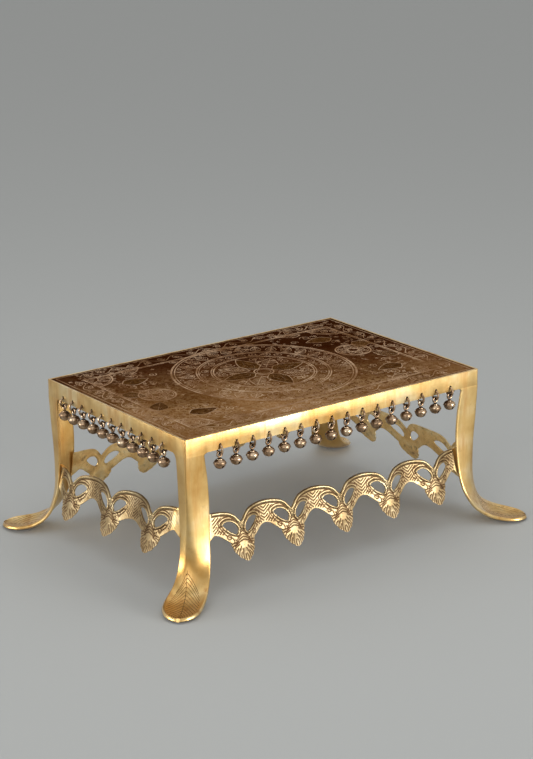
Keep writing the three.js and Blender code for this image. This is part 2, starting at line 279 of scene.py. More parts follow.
def section_line(station):
    """The outer line across a leg, as (sideways, outward) points."""
    long, short, fold, soften, cup = station[2:7]
    soften = max(soften, flange_crown * min(1, max(0, leg_top - station[1]) / crown_run) ** 2)
    points = []
    for across in leg_across:
        reach = long * flange_long if across > 0 else short * flange_short
        ridge = ridge_round / reach
        share = abs(across)
        if share < ridge:
            share = (share**2 + ridge**2) / (2 * ridge)
        folded = (math.hypot(share, soften) - soften) / (math.hypot(1, soften) - soften)
        points.append(Vector((across * reach, foot_cup * cup * across**2 - fold * reach * folded)))
    return points


def offset_line(line, distance):
    """A line moved square to itself, with mitred corners."""
    moved = []
    for i, point in enumerate(line):
        into = (point - line[i - 1]).normalized() if i else (line[1] - point).normalized()
        away = (line[i + 1] - point).normalized() if i < len(line) - 1 else into
        mitre = Vector((-into.y - away.y, into.x + away.x)).normalized()
        moved.append(point + mitre * (distance / (mitre.x * -into.y + mitre.y * into.x)))
    return moved


def leg_ring(station, clearance, cover):
    """The closed line round a leg's section, with rounded lips at both edges."""
    line = section_line(station)
    outer = offset_line(line, clearance + cover)
    inner = offset_line(line, -station[7] - clearance)
    lips = []
    for end, before in ((-1, -2), (0, 1)):
        middle = (outer[end] + inner[end]) / 2
        half = (outer[end] - inner[end]) / 2
        along = (line[end] - line[before]).normalized()
        turns = lip_turns if end else lip_turns[::-1]
        lips.append([
            middle + half * math.sin(math.radians(turn))
            + along * (clearance - lip_round * (1 - math.cos(math.radians(turn))))
            for turn in turns
        ])
        outer[end] = outer[end] + along * (clearance - lip_round)
        inner[end] = inner[end] + along * (clearance - lip_round)
    return outer + lips[0] + inner[::-1] + lips[1]


def leg_place(path, i, point, sign_x, sign_y):
    """Where a (sideways, outward) point of the section at path point i lies on the table."""
    above, below = path[max(i - 1, 0)], path[min(i + 1, len(path) - 1)]
    way = Vector((below[0] - above[0], below[1] - above[1])).normalized()
    out = path[i][0] - point.y * way.y
    return Vector((
        sign_x * (table_length / 2 + (out - point.x) / math.sqrt(2)),
        sign_y * (table_width / 2 + (out + point.x) / math.sqrt(2)),
        path[i][1] + point.y * way.x,
    ))


def leg_form(sign_x, sign_y, clearance=0.0, cover=0.0):
    """A leg as a grid wrapped round the sections of its path, closed at both ends.
    As a tool it is grown by a clearance, and on its outer face by a cover as well."""
    path = leg_path()
    rings = []
    for i, station in enumerate(path):
        sink = root_sink if station[1] > leg_top - 0.5 and clearance == 0 else 0
        ring = leg_ring(station, clearance - sink, cover)
        rings.append([leg_place(path, i, point, sign_x, sign_y) for point in ring])
    around = len(rings[0])
    form = bmesh.new()
    bmesh.ops.create_grid(form, x_segments=around, y_segments=len(rings) - 1, size=0.5)
    for vert in form.verts:
        column = round((vert.co.x + 0.5) * around) % around
        row = round((vert.co.y + 0.5) * (len(rings) - 1))
        vert.co = rings[row][column]
    bmesh.ops.remove_doubles(form, verts=form.verts, dist=1e-5)
    bmesh.ops.holes_fill(form, edges=form.edges, sides=0)
    bmesh.ops.triangulate(form, faces=[face for face in form.faces if len(face.verts) > 4])
    bmesh.ops.recalc_face_normals(form, faces=form.faces)
    # So bent a shape can come out inside out, which its volume shows
    if form.calc_volume(signed=True) < 0:
        bmesh.ops.reverse_faces(form, faces=form.faces)
    return form


def box_form(low, high):
    """A plain block between two corners."""
    form = bmesh.new()
    bmesh.ops.create_cube(form, size=1)
    size = Vector(high) - Vector(low)
    bmesh.ops.scale(form, vec=size, verts=form.verts)
    bmesh.ops.translate(form, vec=Vector(low) + size / 2, verts=form.verts)
    return form


def round_edges(form, edges, offset, segments):
    """Takes the sharpness off edges."""
    bmesh.ops.bevel(form, geom=edges, offset=offset, offset_type="OFFSET", segments=segments,
                    profile=0.5, affect="EDGES", material=-1)


def wall_ring(length, width, wall, bottom, top):
    """Four walls round an open middle."""
    form = box_form((-length / 2, -width / 2, bottom), (length / 2, width / 2, top))
    ends = [face for face in form.faces if abs(face.normal.z) > 0.5]
    bmesh.ops.delete(form, geom=ends, context="FACES_ONLY")
    bmesh.ops.recalc_face_normals(form, faces=form.faces)
    inner = bmesh.ops.duplicate(form, geom=form.verts[:] + form.edges[:] + form.faces[:])["geom"]
    inner_verts = [part for part in inner if isinstance(part, bmesh.types.BMVert)]
    inner_faces = [part for part in inner if isinstance(part, bmesh.types.BMFace)]
    shrink = Vector(((length - 2 * wall) / length, (width - 2 * wall) / width, 1))
    bmesh.ops.scale(form, vec=shrink, verts=inner_verts)
    bmesh.ops.reverse_faces(form, faces=inner_faces)
    rims = [edge for edge in form.edges if edge.is_boundary]
    for height in (bottom, top):
        rim = [edge for edge in rims if all(abs(vert.co.z - height) < 0.01 for vert in edge.verts)]
        bmesh.ops.bridge_loops(form, edges=rim)
    bmesh.ops.recalc_face_normals(form, faces=form.faces)
    return form


# The four sides as they are met from outside: quarter turns, length and distance out.
sides = {
    "front": dict(turn=0, length=table_length, stand_off=table_width / 2),
    "right": dict(turn=1, length=table_width, stand_off=table_length / 2),
    "back": dict(turn=2, length=table_length, stand_off=table_width / 2),
    "left": dict(turn=3, length=table_width, stand_off=table_length / 2),
}
corners = [(-1, -1), (1, -1), (1, 1), (-1, 1)]

gold = polished_brass()
groove = engraved_shadow()
walls = wall_ring(table_length, table_width, apron_wall, leg_top, table_height)
posts = [edge for edge in walls.edges if abs(edge.verts[0].co.z - edge.verts[1].co.z) > 1
         and abs(edge.verts[0].co.x) > table_length / 2 - 0.01]
round_edges(walls, posts, corner_round, 4)
lips = [edge for edge in walls.edges
        if min(vert.co.z for vert in edge.verts) > table_height - 0.01
        and len({round(face.normal.z, 1) for face in edge.link_faces}) == 2]
round_edges(walls, lips, edge_round, 3)
table_frame = piece_from(walls, "cast_frame", gold, groove)
ledge = wall_ring(table_length - 2 * ledge_bite, table_width - 2 * ledge_bite, ledge_width + ledge_bite,
                  ledge_top - ledge_thickness, ledge_top)
cut(table_frame, piece_from(ledge, "ledge"), "UNION")
for sign_x, sign_y in corners:
    cut(table_frame, piece_from(leg_form(sign_x, sign_y), "leg"), "UNION")

# Everything under the floor comes off, so each sole stands on a worn flat.
below_floor = box_form((-table_length, -table_length, -20), (table_length, table_length, 0))
cut(table_frame, piece_from(below_floor, "below_floor"))

# A leaf is engraved in each spoon: a midrib down to the toe and veins that slope off it. The lines
# are cut by round-ended tools, so they are real grooves with tarnish in them.
vein_count, vein_reach, vein_step, vein_run, groove_radius = 14, 0.84, 5.2, 24, 0.36
leaf_start, leaf_end, vein_gap = 144.0, 240.0, 3


def curve_form(lines, closed, **settings):
    """The form of a curve drawn through lines of points."""
    curve = bpy.data.curves.new("lines", "CURVE")
    for name, value in settings.items():
        setattr(curve, name, value)
    for line in lines:
        spline = curve.splines.new("POLY")
        spline.points.add(len(line) - 1)
        spline.use_cyclic_u = closed
        for point, place in zip(spline.points, line):
            point.co = (*place, 1)
    drawn = bpy.data.objects.new("lines", curve)
    bpy.context.scene.collection.objects.link(drawn)
    form = bmesh.new()
    form.from_mesh(finished_mesh(drawn))
    bpy.data.objects.remove(drawn)
    bmesh.ops.remove_doubles(form, verts=form.verts, dist=1e-4)
    return form


def tube_form(lines, radius, corner_rows=1):
    """Rods along lines of points, closed at both ends."""
    form = curve_form(lines, False, dimensions="3D", bevel_depth=radius, bevel_resolution=corner_rows,
                      use_fill_caps=True)
    bmesh.ops.recalc_face_normals(form, faces=form.faces)
    return form


def foot_lines(sign_x, sign_y):
    """The leaf's lines, as points on the outer face of the leg at run millimetres down its path."""
    path = leg_path()
    runs = [0]
    for above, below in zip(path, path[1:]):
        runs.append(runs[-1] + math.hypot(below[0] - above[0], below[1] - above[1]))

    def on_foot(run, across):
        i = max(k for k in range(len(runs) - 1) if runs[k] <= run)
        at = next(n for n in range(len(leg_across) - 1) if leg_across[n] <= across <= leg_across[n + 1])
        s = (across - leg_across[at]) / (leg_across[at + 1] - leg_across[at])
        ends = []
        for k in (i, i + 1):
            line = section_line(path[k])
            ends.append(leg_place(path, k, line[at].lerp(line[at + 1], s), sign_x, sign_y))
        return ends[0].lerp(ends[1], (run - runs[i]) / (runs[i + 1] - runs[i]))

    lines = [[on_foot(leaf_start + (leaf_end - leaf_start) * k / 20, 0) for k in range(21)]]
    for vein in range(vein_count):
        root = leaf_start + vein_gap + vein * vein_step
        # The veins reach furthest at the middle of the leaf
        reach = vein_reach * (0.55 + 0.45 * math.sin(math.pi * (vein + 2) / (vein_count + 2)))
        for hand in (-1, 1):
            lines.append([
                on_foot(min(root + vein_run * t**1.2, leaf_end + vein_gap), hand * reach * t)
                for t in (k / 8 for k in range(9))
            ])
    return lines


for sign_x, sign_y in corners:
    grooves = piece_from(tube_form(foot_lines(sign_x, sign_y), groove_radius), "grooves", gold, groove)
    for face in grooves.data.polygons:
        face.material_index = 1
    cut(table_frame, grooves)

# One hole is drilled through the wall for each ring.
drill_length = 12
drills = bmesh.new()
for joint in frame["joints"]:
    hinge = Vector(joint["pos_m"]) / mm
    axis = Vector(joint["axis"])
    hinge.z = hole_height
    turned = axis.to_track_quat("Z", "Y").to_matrix().to_4x4()
    bmesh.ops.create_cone(drills, cap_ends=True, segments=14, radius1=hole_radius, radius2=hole_radius,
                          depth=drill_length, matrix=Matrix.Translation(hinge) @ turned)
cut(table_frame, piece_from(drills, "drills", gold, gold))
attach(table_frame, "table")
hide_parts("frame")


# The top is a sheet brass plate, laid in the frame on its ledge. Its face is chased all over with
# fine scrollwork and has gone dark brown with age; only the raised lines are rubbed bright.
plate_middle = (6, 8)


def aged_plate():
    """Rolled brass, chased and tarnished: dark brown with faint lighter scrolls, and a painted light
    falloff that leaves it lighter at the front left and darkest at the back right."""
    metal, node, place = start_metal("rolled brass, chased and tarnished")
    clouds = node("TexNoise", {"Vector": place, "Scale": blotch(55), "Detail": 4, "Roughness": 0.6})
    brown = node("ValToRGB", {"Fac": clouds}, stops=[(0.3, "#5E4322"), (0.5, "#845E36"), (0.7, "#AC8258")])
    bend = node("TexNoise", {"Vector": place, "Scale": blotch(5.6), "Detail": 2})
    bent = node("VectorMath", {0: bend.outputs["Color"], 1: (0.011, 0.011, 0.0), 2: place},
                operation="MULTIPLY_ADD")
    cells = node("TexVoronoi", {"Vector": bent, "Scale": 1 / (5 * mm)}, feature="DISTANCE_TO_EDGE")
    cell_line = node("MapRange",
                     {"Value": cells, "From Min": 0.03, "From Max": 0.16, "To Min": 1, "To Max": 0})
    curls = node("TexWave", {
        "Vector": bent, "Scale": 1 / (16 * mm), "Distortion": 9.0, "Detail": 2.0, "Detail Scale": 2.0,
    }, wave_type="RINGS")
    curl_line = node("MapRange", {"Value": curls.outputs["Fac"], "From Min": 0.65, "From Max": 0.95})
    lines = node("Math", {0: cell_line, 1: curl_line}, operation="MAXIMUM")
    wear = node("TexNoise", {"Vector": place, "Scale": blotch(24), "Detail": 4, "Roughness": 0.65})
    worn = node("MapRange",
                {"Value": wear, "From Min": 0.38, "From Max": 0.62, "To Min": 0.2, "To Max": 0.75})
    shown = node("Math", {0: lines, 1: worn}, operation="MULTIPLY")
    lined = node("Mix", {0: shown, 6: brown, 7: linear("#C4A27C")}, data_type="RGBA")
    # Painted light falloff: the plate is painted lighter at the front left and darkest at the far side
    apart = node("SeparateXYZ", {0: place})
    across = node("Math", {0: apart.outputs["X"], 1: 0.35, 2: apart.outputs["Y"]}, operation="MULTIPLY_ADD")
    painted_falloff = node("MapRange", {"Value": across, "From Min": -0.1, "From Max": 0.1, "To Max": 0.94})
    colour = node("Mix", {0: painted_falloff, 6: lined, 7: linear("#3A2410")}, data_type="RGBA")
    grit = node("TexNoise", {"Vector": place, "Scale": blotch(5), "Detail": 4, "Roughness": 0.7})
    roughness = node("MapRange",
                     {"Value": grit, "From Min": 0.3, "From Max": 0.7, "To Min": 0.42, "To Max": 0.62})
    dull = {"Specular Tint": linear("#A88464")}
    return finish_metal(metal, colour, roughness, lines, 0.15, 0.6, dull)


def rubbed_lines():
    """The plate's raised lines, rubbed lighter than the ground, and worn away in places."""
    metal, node, place = start_metal("chased lines, rubbed bright")
    wear = node("TexNoise", {"Vector": place, "Scale": blotch(18), "Detail": 5, "Roughness": 0.65})
    tone = node("ValToRGB", {"Fac": wear}, stops=[(0.32, "#84644A"), (0.46, "#B8967A"), (0.6, "#E6CBAE")])
    roughness = node("MapRange", {"Value": wear, "To Min": 0.5, "To Max": 0.36})
    dull = {"Specular Tint": linear("#C8A888")}
    return finish_metal(metal, tone, roughness, wear, 0.05, 0.3, dull)


def sunk_ground():
    """Places that were beaten down and keep their tarnish: dark brown, with fine tool marks."""
    metal, node, place = start_metal("sunk ground, dark with age")
    marks = node("TexNoise", {"Vector": place, "Scale": blotch(2.2), "Detail": 4, "Roughness": 0.7})
    tone = node("ValToRGB", {"Fac": marks}, stops=[(0.3, "#4E3519"), (0.5, "#684A28"), (0.72, "#8C6C46")])
    roughness = node("MapRange", {"Value": marks, "To Min": 0.5, "To Max": 0.66})
    dull = {"Specular Tint": linear("#8C6C4C")}
    return finish_metal(metal, tone, roughness, marks, 0.1, 0.5, dull)


# The sheet lies a hair below the frame's top, so that its raised lines don't stand above the frame
line_room, plate_edge = 0.2, 0.4
plate_low, plate_high = (Vector(corner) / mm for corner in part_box("top_plate"))
plate_top = plate_high.z - line_room
sheet_form = box_form(plate_low, (plate_high.x, plate_high.y, plate_top))
sheet_rim = [edge for edge in sheet_form.edges if all(vert.co.z > plate_top - 0.1 for vert in edge.verts)]
round_edges(sheet_form, sheet_rim, plate_edge, 2)
sheet = piece_from(sheet_form, "plate_sheet", aged_plate())
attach(sheet, "table")
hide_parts("top_plate")
line_flatness, blade_rise = 0.12, 0.03
chased, sunk = [], []


def arc(x, y, radius, start=0.0, end=360.0, width=0.55):
    """A chased arc round a point, from one angle to another."""
    count = max(6, math.ceil(abs(end - start) / 360 * 2 * math.pi * radius / 3))
    points = []
    for k in range(count + 1):
        angle = math.radians(start + (end - start) * k / count)
        points.append((x + radius * math.cos(angle), y + radius * math.sin(angle)))
    chased.append((points, width))


def line(points, width=0.55):
    """A chased line through points."""
    chased.append((points, width))


def curve_through(points, steps=6):
    """A smooth line through a few points."""
    made = []
    for i in range(len(points) - 1):
        a, b, c, d = (points[min(max(i + k, 0), len(points) - 1)] for k in (-1, 0, 1, 2))
        for k in range(steps):
            t = k / steps
            made.append(tuple(
                0.5 * (2 * q + (r - p) * t + (2 * p - 5 * q + 4 * r - s) * t**2
                       + (3 * q - p - 3 * r + s) * t**3)
                for p, q, r, s in zip(a, b, c, d)
            ))
    made.append(points[-1])
    return made


def spun(points, x, y, turn, size=1.0, flip=1):
    """Points of a motif turned, sized and set round a place."""
    c, s = math.cos(math.radians(turn)), math.sin(math.radians(turn))
    return [(x + size * (u * c - flip * v * s), y + size * (u * s + flip * v * c)) for u, v in points]


def out_from(centre, turn, reach, aside=0):
    """A place and the way that leads there from a centre, as a motif's x, y and turn."""
    return (*spun([(reach, aside)], *centre, turn)[0], turn)


def flat_form(loops, half_thickness):
    """A flat sheet between outlines, with the later ones as holes in the first."""
    flat = [[(x, z, 0) for x, z in loop] for loop in loops]
    return curve_form(flat, True, dimensions="2D", fill_mode="BOTH", extrude=half_thickness)


def leaf(x, y, turn, length, half_width, width=0.5, veins=0, dark=False):
    """A pointed leaf with its midrib and veins; the ground inside a dark one is beaten down."""
    edges = {}
    for hand in (-1, 1):
        edges[hand] = curve_through([(0, 0), (0.28 * length, hand * half_width),
                                     (0.66 * length, hand * 0.72 * half_width), (length, 0)])
    if dark:
        sunk.append(spun(edges[-1][:-1] + edges[1][:0:-1], x, y, turn))
    for hand, edge in edges.items():
        line(spun(edge, x, y, turn), width)
        for vein in range(veins):
            root = length * (0.18 + 0.62 * vein / veins)
            tip = min(root + 0.16 * length, length)
            across = hand * half_width * 0.72 * (1 - abs(root / length - 0.4))
            line(spun([(root, 0), (tip, across)], x, y, turn), width * 0.6)
    if veins:
        line(spun([(0, 0), (length * 0.95, 0)], x, y, turn), width * 0.7)


def scroll(x, y, turn, size, flip=1, width=0.5):
    """A spiral tendril that opens out from its eye in one and two fifths of a turn."""
    points = []
    for k in range(17):
        t = k / 16
        angle = 2 * math.pi * 1.4 * t
        reach = size * (0.12 + 0.88 * t)
        points.append((reach * math.cos(angle), reach * math.sin(angle)))
    line(spun(points, x, y, turn, 1, flip), width)


# Medallion: a centre disc, four long sunk petals, and three ringed bands filled with leaves and
# scrolls. Rings are given as a radius and the width of their line.
medallion_rings = [
    (12.5, 0.9), (9, 0.4), (63.5, 0.8), (66.5, 0.6), (82, 0.6), (85, 0.9), (112.5, 0.7), (116.5, 1.25),
]
for radius, width in medallion_rings:
    arc(*plate_middle, radius, width=width)
for turn in (0, 90, 180, 270):
    leaf(*out_from(plate_middle, turn, 12.5), 49, 13, 0.6, 0, dark=True)
    leaf(*out_from(plate_middle, turn, 20), 26, 4.5, 0.35)
    leaf(*out_from(plate_middle, turn + 45, 18), 40, 13, 0.5, 7)
    for hand in (-1, 1):
        scroll(*out_from(plate_middle, turn, 48, hand * 19)[:2], turn + 90, 7, hand)
        scroll(*out_from(plate_middle, turn + 45, 54, hand * 12)[:2], turn, 5, hand)
for k in range(28):
    scroll(*out_from(plate_middle, 360 / 28 * k, 74.3), 6.3, 1 if k % 2 else -1, 0.45)
for turn in range(0, 360, 12):
    leaf(*out_from(plate_middle, turn, 88), 21, 6.8, 0.5, 4)
    arc(*out_from(plate_middle, turn + 6, 107.5)[:2], 2.4, width=0.45)

# Field round the medallion: side roundels, quarter rounds in the corners, sunk leaves and tendrils
# between. Each leaf and tendril is given once, for the corner it is mirrored from.
corner_x, corner_y = 192, 118
for hand_x in (-1, 1):
    roundel = (hand_x * 153, 12)
    for radius, width in ((23, 1.1), (20, 0.45), (7, 0.6)):
        arc(*roundel, radius, width=width)
    for turn in range(0, 360, 45):
        leaf(*out_from(roundel, turn, 7), 12.5, 4, 0.45, 2)
    for hand_y in (-1, 1):
        corner = (hand_x * corner_x, hand_y * corner_y)
        inward = math.degrees(math.atan2(-hand_y, -hand_x))
        for radius, width in ((36, 1.0), (33, 0.45), (18, 0.5)):
            arc(*corner, radius, inward - 45, inward + 45, width)
        for step in (-30, 0, 30):
            leaf(*out_from(corner, inward + step, 18), 14, 4.5, 0.45, 2)
        facing = 180 if hand_x > 0 else 0
        lean = hand_x * hand_y
        for x, y, turn, length, half_width, veins, dark in (
            (187, 40, 52, 34, 11, 6, True),
            (164, 72, -4, 40, 11.5, 0, True),
            (140, 108, -22, 34, 8.5, 5, False),
        ):
            leaf(hand_x * x, hand_y * y, facing + lean * turn, length, half_width, 0.6, veins, dark)
        for x, y, turn, size, flip, width in (
            (136, hand_y * 92, 30, 8, 1, 0.55),
            (112, hand_y * 84, 120, 6, -1, 0.5),
            (160, hand_y * 50 + 6, 75, 7, 1, 0.5),
            (130, hand_y * 56, 15, 6, 1, 0.5),
            (62, hand_y * 111, 90, 5, 1, 0.5),
        ):
            scroll(hand_x * x, y, turn * hand_x, size, flip * lean, width)

# Fine hatching in loose tufts, which fills the bands and the ground between the figures.
hatching = random.Random(4)
tuft_gap, tuft_line = 1.5, 0.3


def tuft(x, y, turn, length, count):
    """A few nearly parallel cuts, each a little longer than the last."""
    for k in range(count):
        reach = length * (0.6 + 0.4 * hatching.random())
        offset = (k - count / 2) * tuft_gap
        bent = [(0, offset), (reach * 0.5, offset + 0.7 + 0.1 * k), (reach, offset - 0.5)]
        line(spun(bent, x, y, turn), tuft_line)


tuft_count, field_x, field_y = 1500, 215, 141
petal_half, petal_reach, medallion_edge, thin_edge = 14, 64, 116, 150
for k in range(tuft_count):
    x, y = hatching.uniform(-field_x, field_x), hatching.uniform(-field_y, field_y)
    u, v = x - plate_middle[0], y - plate_middle[1]
    radius = math.hypot(u, v)
    in_petal = min(abs(u), abs(v)) < petal_half and max(abs(u), abs(v)) < petal_reach
    # The sunk petals stay clear, and the ground just outside the medallion is hatched thinly
    if in_petal or (medallion_edge < radius < thin_edge and k % 4):
        continue
    if radius < medallion_edge:
        turn = math.degrees(math.atan2(v, u)) + hatching.uniform(50, 130)
    else:
        turn = hatching.uniform(20, 160)
    tuft(x, y, turn, hatching.uniform(4, 7), hatching.choice((2, 3)))

# Border: a double line, and a running vine with leaves between it and the edge.
for inset_x, inset_y, width in ((corner_x, corner_y, 1.0), (189, 115, 0.45), (217, 143, 0.6)):
    turns = [(sign_x * inset_x, sign_y * inset_y) for sign_x, sign_y in corners]
    for start, end in zip(turns, turns[1:] + turns[:1]):
        line([tuple(p + (q - p) * k / 40 for p, q in zip(start, end)) for k in range(41)], width)
vine_step, vine_sway = 22, 7
for axis_x, half, stand in ((True, 190, 130.5), (False, corner_y, 204.5)):
    for hand in (-1, 1):
        count = round(2 * half / vine_step)
        vine = []
        for k in range(count * 6 + 1):
            along = -half + 2 * half * k / (count * 6)
            sway = vine_sway * math.sin(math.pi * (along + half) / (2 * half / count))
            vine.append((along, hand * stand + sway) if axis_x else (hand * stand + sway, along))
        line(vine, 0.5)
        for k in range(count):
            along = -half + 2 * half * (k + 0.5) / count
            side_of_vine = 1 if k % 2 else -1
            place = (along, hand * stand + side_of_vine * 1.5)
            if not axis_x:
                place = place[::-1]
            scroll(*place, 40 * k, 5.6, side_of_vine, 0.5)
            leaf(*place, 35 * k + 90, 9, 2.6, 0.4)


def pour_in(form, other):
    """Adds another form to a form."""
    made = bpy.data.meshes.new("part")
    other.to_mesh(made)
    other.free()
    form.from_mesh(made)


def add_rods(form, rods, height, corner_rows=1):
    """Adds rods to a form at a height, each given as a flat line and a radius."""
    for radius in sorted({radius for _, radius in rods}):
        lines = [[(*point, height) for point in points] for points, r in rods if r == radius]
        pour_in(form, tube_form(lines, radius, corner_rows))


chasing_form = bmesh.new()
add_rods(chasing_form, chased, 0, 0)
bmesh.ops.scale(chasing_form, vec=(1, 1, line_flatness), verts=chasing_form.verts)
sunk_form = bmesh.new()
for blade in sunk:
    pour_in(sunk_form, flat_form([blade], blade_rise))
for form, name, metal in (
    (chasing_form, "chased_lines", rubbed_lines()),
    (sunk_form, "sunk_leaves", sunk_ground()),
):
    bmesh.ops.translate(form, vec=(0, 0, plate_top), verts=form.verts)
    piece = piece_from(form, name, metal)
    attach(piece, "table")


# Four openwork skirts tie the legs together. Each is a flat brass casting, pierced with eyes and
# chased with volutes, chevrons and fluted palmettes, then bent to lean out at its foot and let into
# the legs. It was never polished: worn straw metal with brown lines in front, plain behind.
def aged_casting():
    """Cast brass left to age: worn straw metal, brown in the chased lines, plain gold behind, and darkened
    in its recesses by painted shade.
    """
    metal, node, place = start_metal("cast brass, aged")
    cloud = node("TexNoise", {"Vector": place, "Scale": blotch(11), "Detail": 5, "Roughness": 0.65})
    pale = node("ValToRGB", {"Fac": cloud},
                stops=[(0.34, "#866E4C"), (0.46, "#A08A64"), (0.6, "#B4A07A"), (0.72, "#CEBE9A")])
    tarnish = node("ValToRGB", {"Fac": cloud}, stops=[(0.35, "#402A18"), (0.65, "#664830")])
    # How far a place stands proud of the chased lines, and how much of it was filed with the legs
    proud = node("Attribute", attribute_name="relief").outputs["Fac"]
    filed = node("Attribute", attribute_name="filed").outputs["Fac"]
    grit = node("TexNoise", {"Vector": place, "Scale": blotch(1.6), "Detail": 3, "Roughness": 0.7})
    broken = node("Math", {0: grit, 1: 0.45, 2: proud}, operation="MULTIPLY_ADD")
    ridge = node("MapRange", {"Value": broken, "From Min": 0.42, "From Max": 0.95})
    # Painted shade: ambient occlusion darkens the recesses towards the tarnish colour
    open_air = node("AmbientOcclusion", {"Distance": 3 * mm}, samples=6).outputs["AO"]
    cover = node("MapRange", {"Value": open_air, "From Min": 0.4, "From Max": 0.85, "To Min": 0.45})
    shown = node("Math", {0: ridge, 1: cover}, operation="MULTIPLY")
    aged = node("Mix", {0: shown, 6: tarnish, 7: pale}, data_type="RGBA")
    gold = node("ValToRGB", {"Fac": cloud}, stops=[(0.3, "#D8AC6A"), (0.5, "#EECC8C"), (0.7, "#FAE4B2")])
    spots = node("TexNoise", {"Vector": place, "Scale": blotch(5), "Detail": 5, "Roughness": 0.7})
    spot = node("MapRange", {"Value": spots, "From Min": 0.54, "From Max": 0.7, "To Max": 0.75})
    stained = node("Mix", {0: spot, 6: gold, 7: linear("#6E4A26")}, data_type="RGBA")
    colour = node("Mix", {0: filed, 6: aged, 7: stained}, data_type="RGBA")
    roughness = node("MapRange", {"Value": shown, "To Min": 0.62, "To Max": 0.42})
    return finish_metal(metal, colour, roughness, grit, 0.12, 0.5)


skirt_thickness, skirt_depth, skirt_lean, crest_height, wave_depth = 2.6, 60.5, 15.5, 98.55, 4.5
# How far the skirt leans out down its depth, both as shares
lean_shares = [(-0.08, -0.42), (0.42, 0.03), (0.76, 0.38), (1.06, 1)]
skirt_rows = {
    # ties, pitch and shift as shares of the side's length, and the tilt it was fixed at
    "front": (5, 0.1662, 0.0067, 0), "right": (3, 0.2967, -0.04, 0),
    "back": (5, 0.1662, 0, 0), "left": (3, 0.2967, -0.04, 4.2),
}
# How much of each end was filed plain with the leg, seen from outside: the left end and the right
filed_ends = {"front": (10, 8), "right": (10, 10), "back": (10, 10), "left": (10, 26)}
sheet_half, rib_lift, skirt_lap, tab_foot = 0.8, 0.75, 5, 0.57
casting_grain, weld_depth, leg_cover = 0.65, 0.5, 16

# Outlines beside a tie: across as a share of half the pitch, and down as a share of the depth
arch_top = [
    (0, 0.253), (0.05, 0.228), (0.1, 0.192), (0.2, 0.121), (0.355, 0.056), (0.57, 0.02), (0.8, 0.004), (1, 0),
]
arch_foot = [(1, 0.436), (0.826, 0.466), (0.643, 0.55), (0.52, 0.61), (0.43, 0.651)]
deep_arch_foot = [(1, 0.54), (0.826, 0.553), (0.643, 0.594), (0.52, 0.63), (0.43, 0.651)]
deep_arches = {("left", 2)}
palmette_edge = [(0.43, 0.651), (0.4, 0.752), (0.3, 0.868), (0.16, 0.95), (0, 1)]
heart_down, lobe_steps, lobe_rise = 0.62, 6, 0.9
eye = [
    (0.66, 0.268), (0.5, 0.22), (0.32, 0.247), (0.18, 0.33),
    (0.135, 0.425), (0.21, 0.487), (0.345, 0.452), (0.52, 0.373),
]

# Ribs stand proud and the chased lines are sunk. The rest is in millimetres from the tie and the
# crest.
eye_rib, eye_line, far_line = 1.1, 3.2, 6.3
crest_rib, crest_line, foot_rib, crest_clear = 1.6, 4.7, 1.1, 6.3
# Each rib's radius and how far it stays from the edges, and how far each kind of line does
rib_sizes = {"eye": (1.1, 0.8), "crest": (1.6, 1.28), "foot": (1.0, 0.88), "band": (1.2, 0)}
eye_margin, far_margin, crest_margin, volute_margin = 2.2, 4.4, 3.4, 0.9
neck_margin, flute_margin, feather_margin = 1, 0.3, 1.4
chevron_count, chevron_first, chevron_step, chevron_reach, line_gap = 8, 9.5, 3.9, 15, 1.6
volutes = ((27.8, 21.2, 3.8), (18.4, 32.0, 3.0))
volute_points, volute_turn, volute_close = 15, 0.42, 45
neck_strokes = ((13.5, 33.6), (10.2, 35.6))
feather_count, feather_drop, feather_reach = 4, (27, 3.3), (7.5, 1.7)
tie_bands, band_half, band_bow = (17.0, 20.3, 23.6), 5.4, 0.15
line_half, line_depth, line_grain, rim_step = 0.95, 0.45, 0.4, 0.6


def inset_line(points, distance):
    """A line moved to its left by a distance."""
    moved = []
    for i, (x, z) in enumerate(points):
        before, after = points[max(i - 1, 0)], points[min(i + 1, len(points) - 1)]
        way = Vector((after[0] - before[0], after[1] - before[1])).normalized()
        moved.append((x - way.y * distance, z + way.x * distance))
    return moved


def swollen(points, middle, distance):
    """An outline moved away from its middle."""
    return [tuple(Vector(point) + (Vector(point) - middle).normalized() * distance) for point in points]


def clear_of(points, others, gap):
    """The points of a line that keep their distance from another line."""
    return [point for point in points if min(math.dist(point, other) for other in others) > gap]


def point_tree(points):
    """Points of the flat skirt, to be asked which is nearest to a place."""
    tree = KDTree(len(points))
    for index, point in enumerate(points):
        tree.insert((*point, 0), index)
    tree.balance()
    return tree


def rim_points(loops):
    """Points close together along outlines, each with the way that leads off the metal."""
    points = []
    for n, loop in enumerate(loops):
        ends = list(zip(loop, loop[1:] + loop[:1]))
        area = sum(a[0] * b[1] - b[0] * a[1] for a, b in ends)
        hand = (1 if area > 0 else -1) * (-1 if n else 1)
        for a, b in ends:
            a, b = Vector(a), Vector(b)
            way = (b - a).normalized()
            count = max(1, round((b - a).length / rim_step))
            points += [(a.lerp(b, k / count), Vector((way.y, -way.x)) * hand) for k in range(count)]
    return points


def kept_on(rim, tree, points, margin):
    """The runs of a line that stay on the metal, at least a margin from its edges."""
    runs, run = [], []
    for point in points:
        _, index, gap = tree.find((*point, 0))
        if (Vector(point) - rim[index][0]).dot(rim[index][1]) < 0 and gap >= margin:
            run.append(point)
            continue
        runs.append(run)
        run = []
    return [run for run in runs + [run] if len(run) > 1]


def skirt_end(side_name):
    """How far a skirt runs each way from the middle of its side: a little behind the leg's flange."""
    _, _, _, long, short, *_ = leg_stations[4]
    flange = short * flange_short if sides[side_name]["turn"] % 2 else long * flange_long
    return sides[side_name]["length"] / 2 - math.sqrt(2) * flange + skirt_lap


